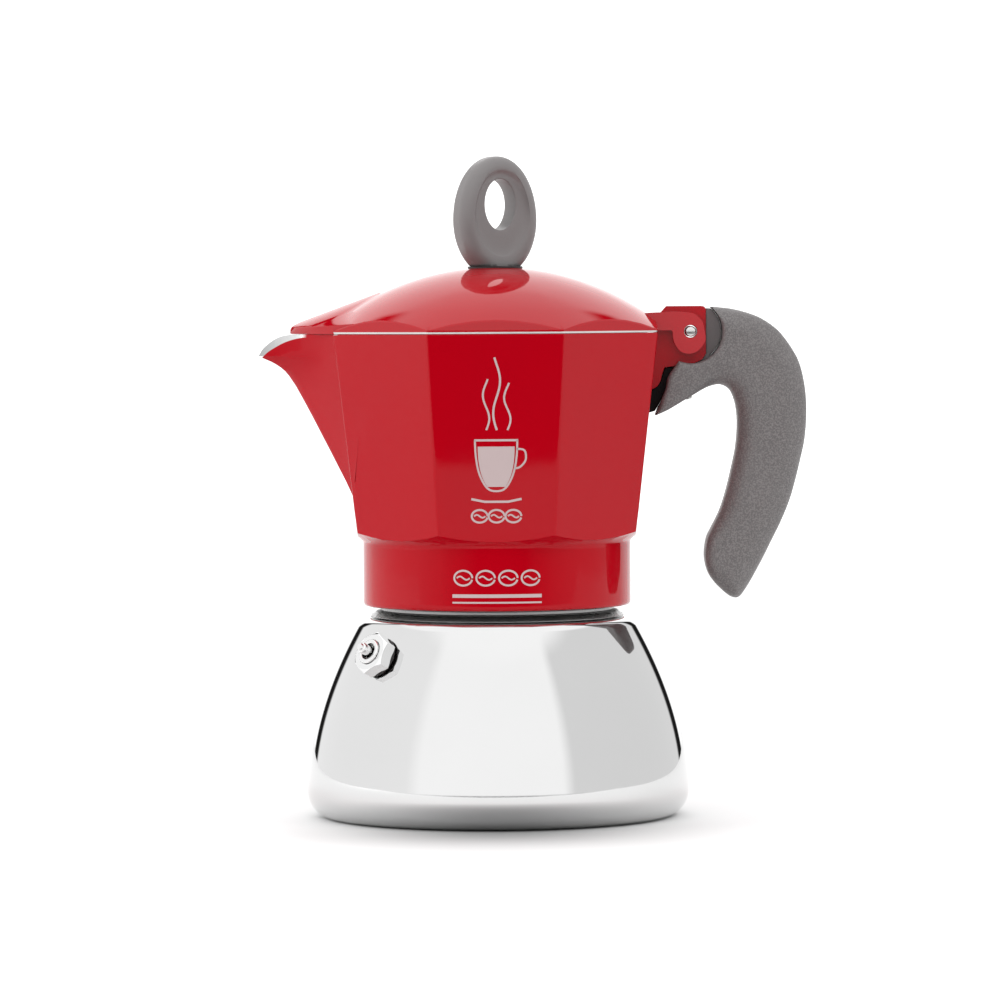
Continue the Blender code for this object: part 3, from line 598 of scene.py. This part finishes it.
def cushion(line, half):
    """Solid of a flat outline whose faces round over towards the rim."""
    n = len(line)
    segs = []
    for i in range(n):
        a, b = Vector(line[i]), Vector(line[(i + 1) % n])
        segs.append((a.x, a.y, b.x - a.x, b.y - a.y, max((b - a).length_squared, 1e-12),
                     rim_radius(*((a + b) / 2))))

    def height(x, z):
        near, top = 99.0, half
        for ax, az, dx, dz, ll, r in segs:
            t = min(1.0, max(0.0, ((x - ax) * dx + (z - az) * dz) / ll))
            d = math.hypot(x - ax - t * dx, z - az - t * dz)
            near = min(near, d)
            if d < r:
                top = min(top, half - r + math.sqrt(max(0.0, r * r - (r - d) ** 2)))
        return near, top
    pts = [Vector(p) for p in line]
    tops = [half - rim_radius(*p) for p in line]
    for reach in (0.06, 0.22, 0.55, 1.05, 1.8, 2.8, 4.0):
        for q in inset(line, reach, 1.3)[::1 if reach < 1.5 else 2]:
            near, top = height(*q)
            if near > reach * 0.93:
                pts.append(Vector(q))
                tops.append(top)
    x = 40.0
    while x < 82.0:
        z = 56.0
        while z < 133.0:
            inside = False
            for ax, az, dx, dz, _, _ in segs:
                if (az > z) != (az + dz > z) and x < ax + (z - az) / dz * dx:
                    inside = not inside
            if inside:
                near, top = height(x, z)
                if near > 4.7:
                    pts.append(Vector((x, z)))
                    tops.append(top)
            z += 1.3
        x += 1.3
    out = delaunay_2d_cdt(pts, [(i, (i + 1) % n) for i in range(n)], [], 1, 1e-6)
    co, tris, origin = out[0], out[2], out[3]
    tall = [tops[o[0]] if o else half - 2.0 for o in origin]
    m = len(co)
    verts = [(p.x, -h, p.y) for p, h in zip(co, tall)] + [(p.x, h, p.y) for p, h in zip(co, tall)]
    faces, rims = [], {}
    for tri in tris:
        faces += [tuple(tri), tuple(m + i for i in reversed(tri))]
        for a, b in zip(tri, tri[1:] + tri[:1]):
            rims[(a, b)] = rims.get((a, b), 0) + 1
    for a, b in list(rims):
        if (b, a) not in rims:
            faces.append((b, a, m + a, m + b))
    return verts, faces


grip = make("handle_grip_look", *cushion(curved(GRIP, 4, keep=sharp), 8.5), GREY, smooth=50.0)
boolean(grip, [
    (slab(inset(CORE, -0.3), -4.6, 4.6), CUT, None),
    (slab(inset(LUG, -0.35), -5.0, 5.0), CUT, None),
    (rod(48.3, 0.0, 104.0, 111.2, 3.4), CUT, None),
    (rod(48.3, 0.0, 110.0, 116.0, 1.65, 24), CUT, None)], 40.0)
stands_for(grip, "collector", "grey_nylon", "handle_grip")
CORE_LOOK = [(39.62, 105.0), (40.35, 110.9), (41.9, 111.85)] + CORE[3:]
core = make("handle_core_look", *slab(CORE_LOOK, -4.3, 4.3), CORE_MAT, smooth=30.0)
boolean(core, [(rod(48.3, 0.0, 104.0, 119.0, 1.65, 24), CUT, None)])
rounded(core, 0.25, 2)
stands_for(core, "collector", "black_nylon", "handle_core")


# ------------------------------------------------------------------ lid
def lid_edge(inner, thick, rho):
    def ring(ang):
        r = poly_r(inner, ang, 8, rho)
        return r, dome_z(r, thick)
    return ring


rings = [(2.1, dome_z(2.1))] + [(r, dome_z(r)) for r in (5, 8, 12, 16, 20, 24, 28, 31, 34, 36.5, 38.5)]
rings += [lid_edge(40.4, 0.0, 2.0), lid_edge(41.6, 0.0, RHO), lid_edge(41.82, 0.18, RHO),
          oct_ring(41.88, 127.0), oct_ring(41.88, 126.55), oct_ring(41.7, 126.1), oct_ring(38.9, 126.1),
          lid_edge(38.7, 1.7, 3.0)]
rings += [(r, dome_z(r, 1.7)) for r in (37.0, 35.0, 28.0, 20.0, 10.0, 2.1)]
lid = make("lid_look", *spin(rings, octa), [RED_LID, ALU], smooth=24.0)


def hull(points):
    bm = bmesh.new()
    for p in points:
        bm.verts.new(p)
    bmesh.ops.convex_hull(bm, input=bm.verts)
    bmesh.ops.dissolve_limit(bm, angle_limit=0.001, verts=bm.verts, edges=bm.edges)
    bm.verts.index_update()
    out = [tuple(v.co) for v in bm.verts], [tuple(v.index for v in f.verts) for f in bm.faces]
    bm.free()
    return out


def beak(pts):
    return hull([(x, s * y, z) for x, y, z in pts for s in (1, -1)])


beak_out = beak([(-34.2, 24.6, 126.1), (-34.2, 24.6, 128.9), (-46.1, 12.2, 126.1), (-46.1, 12.2, 128.0),
                 (-51.6, 4.6, 126.1), (-51.3, 4.4, 127.6), (-53.0, 2.4, 126.1), (-53.6, 0.9, 126.2),
                 (-53.55, 0.9, 127.2), (-53.2, 0.9, 127.9), (-52.4, 0.8, 128.5),
                 (-50.7, 0.6, 129.3), (-30.0, 0.6, 136.9),
                 (-30.0, 26.0, 126.1), (-30.0, 26.0, 129.5)])
beak_in = beak([(-32.0, 22.6, 125.0), (-32.0, 22.4, 128.0), (-45.0, 10.2, 125.0), (-44.6, 10.0, 126.9),
                (-50.4, 3.4, 125.0), (-49.4, 2.6, 126.8), (-47.6, 0.4, 128.6), (-27.0, 0.4, 135.8),
                (-27.0, 22.0, 125.0), (-27.0, 20.0, 129.0)])
EAR = [(39.3, 126.5), (39.3, 129.5), (38.3, 131.0), (43.0, 131.2), (46.0, 131.4), (50.0, 131.2),
       (51.6, 130.8),
       (53.0, 129.7), (53.9, 128.4), (54.2, 126.9), (54.6, 124.3), (53.8, 122.5), (52.0, 120.8),
       (49.6, 120.4),
       (47.7, 121.3), (46.5, 123.1), (46.1, 124.6), (46.0, 126.1), (45.6, 126.5)]
ear = curved(EAR, 3, keep=(0, 1, 2, 3, 17, 18))
boolean(lid, [
    (beak_out, JOIN, None), (beak_in, CUT, None), (slab(ear, -7.8, -5.05), JOIN, None),
    (slab(ear, 5.05, 7.8), JOIN, None), (cross_rod(50.7, 126.2, -5.05, 5.05, 9.85, 96), CUT, None),
    (cross_rod(50.7, 126.2, -9.0, 9.0, 1.7), CUT, None)], 24.0)
for face in lid.data.polygons:
    c, n = face.center * 1000.0, face.normal
    inside = n.z < -0.3 and c.x < 42.0
    inside = inside or (c.x < 39.0 and c.z < 134.0 and (c.x * n.x + c.y * n.y) < 0.0 and n.z < 0.3
                        and c.x > -50.0 and math.hypot(c.x, c.y) < 44.0)
    inside = inside and c.z > 126.3
    face.material_index = 1 if inside else 0
rounded(lid, 0.28, 2, 30.0)
stands_for(lid, "lid", "red_enamel", "lid")


# ------------------------------------------------------------------ knob
def knob_ring(a, b, t, low, cz=155.5, n=112):
    return [(a * math.cos(g), t, max(cz + (b if g < math.pi else b - 1.8 * (low > 0)) * math.sin(g), low))
            for g in even(n)]


T, ROUND = 4.3, 3.1
rim = []
for i in range(9):
    g = math.pi / 2 * i / 8
    rim.append((-T + ROUND * (1 - math.sin(g)), ROUND * (1 - math.cos(g))))
rim = rim[::-1]
rim = sorted(rim)
rim += [(-t, d) for t, d in reversed(rim)]
knob_rings = [knob_ring(11.3 - d, 16.6 - d, t, 143.45) for t, d in rim]
dish = [(8.1, 11.4, T - 0.12), (7.9, 11.15, T - 0.28), (7.5, 10.6, T - 0.62), (6.6, 9.4, T - 0.98),
        (5.4, 7.9, T - 1.12), (4.75, 6.95, T - 1.16), (4.55, 6.7, T - 1.26), (4.5, 6.65, T - 1.5),
        (4.5, 6.65, 0.0)]
dish += [(a, b, -t) for a, b, t in reversed(dish[:-1])]
HOLE_Z = {8.1: 157.2, 7.9: 157.2, 7.5: 157.3, 6.6: 157.9, 5.4: 158.8, 4.75: 159.4, 4.55: 159.5, 4.5: 159.5}
knob_rings += [knob_ring(a, b, t, 0.0, HOLE_Z[a]) for a, b, t in dish]
KNOB_TURN = Matrix.Rotation(math.radians(28.0), 4, "Z")
knob = make("knob_look", *loft(knob_rings, loop=True), GREY_KNOB, KNOB_TURN, 50.0)
boolean(knob, [(rod(0, 0, 140.0, 149.2, 1.95, 24), CUT, None)], 50.0)
stands_for(knob, "lid", "grey_nylon", "knob")


# ------------------------------------------------------------------ printed drawing on the front flat
def ribbon(points, width):
    left, right = [], []
    for i, p in enumerate(points):
        a, b = Vector(points[max(i - 1, 0)]), Vector(points[min(i + 1, len(points) - 1)])
        d = (b - a).normalized()
        n = Vector((-d.y, d.x)) * width / 2
        left.append(Vector(p) + n)
        right.append(Vector(p) - n)
    return left + right[::-1]


def printed(name, outlines):
    """Thin flat shapes lying on the front flat; outline points are across and up, in millimetres."""
    verts, faces = [], []
    tilt = math.atan(5.8 / 52.0)
    for line in outlines:
        n = len(line)
        start = len(verts)
        for lift in (0.02, 0.06):
            for x, z in line:
                verts.append((x, -(oct_a(z) + lift * math.cos(tilt)), z - lift * math.sin(tilt)))
        half = n // 2
        for i in range(half - 1):
            a, b = i, n - 1 - i
            for off, flip in ((0, True), (n, False)):
                quad = [start + off + q for q in (a, a + 1, b - 1, b)]
                faces.append(tuple(reversed(quad)) if flip else tuple(quad))
        for i in range(n):
            k = (i + 1) % n
            faces.append((start + i, start + k, start + n + k, start + n + i))
    ob = make(name, verts, faces, PRINT)
    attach(ob, "collector")
    return ob


def swirl(x0, z0, height, sway, n=22):
    return [(x0 + sway * math.sin(TAU * 1.1 * i / n), z0 + height * i / n) for i in range(n + 1)]


cup = [(-5.4, 99.0), (-5.2, 95.0), (-4.5, 91.0), (-3.1, 87.8), (-1.4, 86.2), (1.4, 86.2),
       (3.1, 87.8), (4.5, 91.0),
       (5.2, 95.0), (5.4, 99.0)]
cup_fill = []
for i in range(12):
    z = 97.4 - 10.3 * i / 11
    w = 4.7 * math.sqrt(max(0.05, 1 - ((97.4 - z) / 11.6) ** 2.2))
    cup_fill.append((-w, z))
cup_fill += [(-x, z) for x, z in reversed(cup_fill)]


def bean(cx, cz, size=1.0):
    around = [(cx + 2.38 * size * math.cos(TAU * i / 28), cz + 1.9 * size * math.sin(TAU * i / 28))
              for i in range(29)]
    seam = [(cx + size * (3.4 * i / 8 - 1.7), cz + 0.45 * size * math.sin(TAU * i / 8)) for i in range(9)]
    return [ribbon(around[:28], 0.5), ribbon(seam, 0.4)]


drawing = [ribbon(curved(cup, 4, closed=False), 0.5), ribbon([(-5.6, 99.0), (5.6, 99.0)], 0.55), cup_fill,
           ribbon([(-6.4, 84.0), (-3.0, 83.3), (3.0, 83.3), (6.4, 84.0)], 0.6),
           ribbon(curved([(5.2, 96.8), (7.2, 96.4), (7.5, 94.0), (6.1, 92.2),
           (4.7, 91.8)], 4, closed=False), 0.5),
           ribbon(swirl(-2.5, 101.6, 13.0, 0.8), 0.5), ribbon(swirl(0.2, 101.6, 18.5, -0.9), 0.55),
           ribbon(swirl(2.9, 101.6, 12.0, 0.8), 0.5)]
drawing += bean(-4.3, 79.6, 0.85) + bean(0.0, 79.6, 0.85) + bean(4.3, 79.6, 0.85)
printed("front_drawing", drawing)


def wrapped(name, outlines, r):
    """The same thin print wrapped round the collar."""
    verts, faces = [], []
    for line in outlines:
        n = len(line)
        start = len(verts)
        for lift in (0.02, 0.06):
            for x, z in line:
                g = x / r
                verts.append(((r + lift) * math.sin(g), -(r + lift) * math.cos(g), z))
        for i in range(n // 2 - 1):
            a = i
            for off, flip in ((0, True), (n, False)):
                quad = [start + off + q for q in (a, a + 1, n - 2 - i, n - 1 - i)]
                faces.append(tuple(reversed(quad)) if flip else tuple(quad))
        for i in range(n):
            k = (i + 1) % n
            faces.append((start + i, start + k, start + n + k, start + n + i))
    ob = make(name, verts, faces, PRINT)
    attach(ob, "collector")


row = []
for k in range(4):
    row += bean(-8.7 + 5.8 * k, 63.7)
row.append(ribbon([(-11.6 + 23.2 * i / 40, 59.1) for i in range(41)], 0.9))
row.append(ribbon([(-11.6 + 23.2 * i / 40, 57.4) for i in range(41)], 0.45))
wrapped("collar_drawing", row, 34.9)

# ------------------------------------------------------------------ frame nodes that show as they are
KEPT = {"base_disc": STEEL, "heat_plate": ALU, "boiler_liner": TURNED, "valve_washer": BLACK,
        "valve_spring": ZINC, "funnel": ALU, "funnel_filter_disc": ALU,
        "filter_plate": ALU, "gasket": RUBBER, "riser_column": ALU, "handle_screw": ZINC,
        "knob_washer": BLACK, "knob_screw": ZINC}
for name, mat in KEPT.items():
    if name in NODES:
        ob = NODES[name]
        ob.data.materials.clear()
        ob.data.materials.append(mat)

# ------------------------------------------------------------------ studio
floor_mat, nt, bsdf = tree_of("pale_table")
grain = noise_of(nt, where(nt), 60.0, 3.0)
# a soft darkening painted into the table by the foot, on top of the real shadow
sep = nt.nodes.new("ShaderNodeSeparateXYZ")
nt.links.new(where(nt), sep.inputs[0])
DIM_X, DIM_Y, DIM_AHEAD = 0.043, 0.038, 0.046    # reach across, reach forward, centre, in metres
px = math_node(nt, "MULTIPLY", sep.outputs["X"], 1 / DIM_X)
px = math_node(nt, "POWER", math_node(nt, "ABSOLUTE", px), 2.0)
py = math_node(nt, "MULTIPLY", math_node(nt, "ADD", sep.outputs["Y"], DIM_AHEAD), 1 / DIM_Y)
py = math_node(nt, "POWER", math_node(nt, "ABSOLUTE", py), 2.0)
dim = math_node(nt, "EXPONENT", math_node(nt, "MULTIPLY", math_node(nt, "ADD", px, py), -1.0))
keep = math_node(nt, "SUBTRACT", 1.0, math_node(nt, "MULTIPLY", dim, 0.7))
tone = mixed(nt, keep, (0.0, 0.0, 0.0), (0.91, 0.91, 0.91))
tone = mixed(nt, mapped(nt, grain, 0.0, 1.0, 0.0, 0.02), tone, (0.5, 0.5, 0.5))
nt.links.new(tone, bsdf.inputs["Base Color"])
bsdf.inputs["Roughness"].default_value = 0.9
bsdf.inputs["Specular IOR Level"].default_value = 0.1
mesh = bpy.data.meshes.new("floor")
mesh.from_pydata([(-1.3, -0.40, 0), (1.3, -0.40, 0), (1.3, 1.9, 0), (-1.3, 1.9, 0)], [], [(0, 1, 2, 3)])
mesh.materials.append(floor_mat)
floor = bpy.data.objects.new("floor", mesh)
floor.location.z = -0.0001
bpy.context.scene.collection.objects.link(floor)

world = bpy.data.worlds.new("studio")
bpy.context.scene.world = world
world.use_nodes = True
nt = world.node_tree
sep = nt.nodes.new("ShaderNodeSeparateXYZ")
nt.links.new(nt.nodes.new("ShaderNodeTexCoord").outputs["Generated"], sep.inputs[0])
azimuth = math_node(nt, "ARCTAN2", sep.outputs["X"], math_node(nt, "MULTIPLY", sep.outputs["Y"], -1.0))
azimuth = mapped(nt, azimuth, -math.pi, math.pi, 0.0, 1.0)
height = math_node(nt, "ARCSINE", sep.outputs["Z"])


def ring_ramp(stops):
    ramp = nt.nodes.new("ShaderNodeValToRGB")
    ramp.color_ramp.interpolation = "LINEAR"
    els = ramp.color_ramp.elements
    for deg, v in stops[1:-1]:
        els.new((deg + 180.0) / 360.0)
    for el, (deg, v) in zip(els, stops):
        el.position = (deg + 180.0) / 360.0
        el.color = (v, v, v, 1.0)
    nt.links.new(azimuth, ramp.inputs["Fac"])
    return ramp.outputs["Color"]


# brightness by degrees of azimuth, above and below the horizon: bright walls, two narrow dark slots
HIGH = ((-180, 1.15), (-154, 1.15), (-152, 0.01), (-145, 0.01), (-143, 0.86), (-57, 0.88),
        (-48, 1.0), (40, 1.0),
        (47, 0.72), (143, 0.71), (145, 0.01), (152, 0.01), (154, 1.15), (180, 1.15))
LOW = ((-180, 1.15), (-154, 1.15), (-152, 0.01), (-145, 0.01), (-143, 0.90), (-70, 0.80),
       (-34, 0.25), (-16, 0.0),
       (24, 0.0), (30, 0.14), (65, 0.55), (143, 0.60), (145, 0.01), (152, 0.01), (154, 1.15), (180, 1.15))
level = mapped(nt, height, math.radians(-1.6), math.radians(-0.6), 0.0, 1.0)
sides = mixed(nt, level, ring_ramp(LOW), ring_ramp(HIGH))
top = mapped(nt, height, math.radians(43.0), math.radians(51.0), 0.0, 1.0, True)
light = mixed(nt, top, sides, (1.02, 1.02, 1.02))
back = nt.nodes["Background"]
nt.links.new(light, back.inputs["Color"])
back.inputs["Strength"].default_value = 1.32

# azimuth, distance, height, power; they light the pot softly and leave no bright patch on the steel
LAMPS = (("left_soft", -82.0, 1.15, 0.62, 3.4), ("right_soft", 62.0, 0.95, 1.05, 2.6))
for name, az, reach, high, power in LAMPS:
    lamp = bpy.data.lights.new(name, "AREA")
    lamp.shape, lamp.size, lamp.size_y, lamp.energy = "RECTANGLE", 0.5, 0.6, power
    ob = bpy.data.objects.new(name, lamp)
    bpy.context.scene.collection.objects.link(ob)
    a = math.radians(az)
    ob.location = (reach * math.sin(a), -reach * math.cos(a), high)
    ob.rotation_euler = (Vector((0, 0, 0.1)) - ob.location).to_track_quat("-Z", "Y").to_euler()
    ob.visible_glossy = False

scene = bpy.context.scene
scene.view_settings.view_transform = "Standard"
scene.view_settings.look = "None"
cam_data = bpy.data.cameras.new("camera")
cam_data.sensor_width = 36.0
cam_data.lens = 200.0    # long lens, from the shallow ellipses of the collar and the foot
cam = bpy.data.objects.new("camera", cam_data)
scene.collection.objects.link(cam)
cam.location = (0.0009, -1.451, 0.1346)
aim = Vector((0.0009, 0.0, 0.0824)) - cam.location
turn = aim.to_track_quat("-Z", "Y").to_matrix() @ Matrix.Rotation(math.radians(-0.35), 3, "Z")
cam.rotation_euler = turn.to_euler()
scene.camera = cam
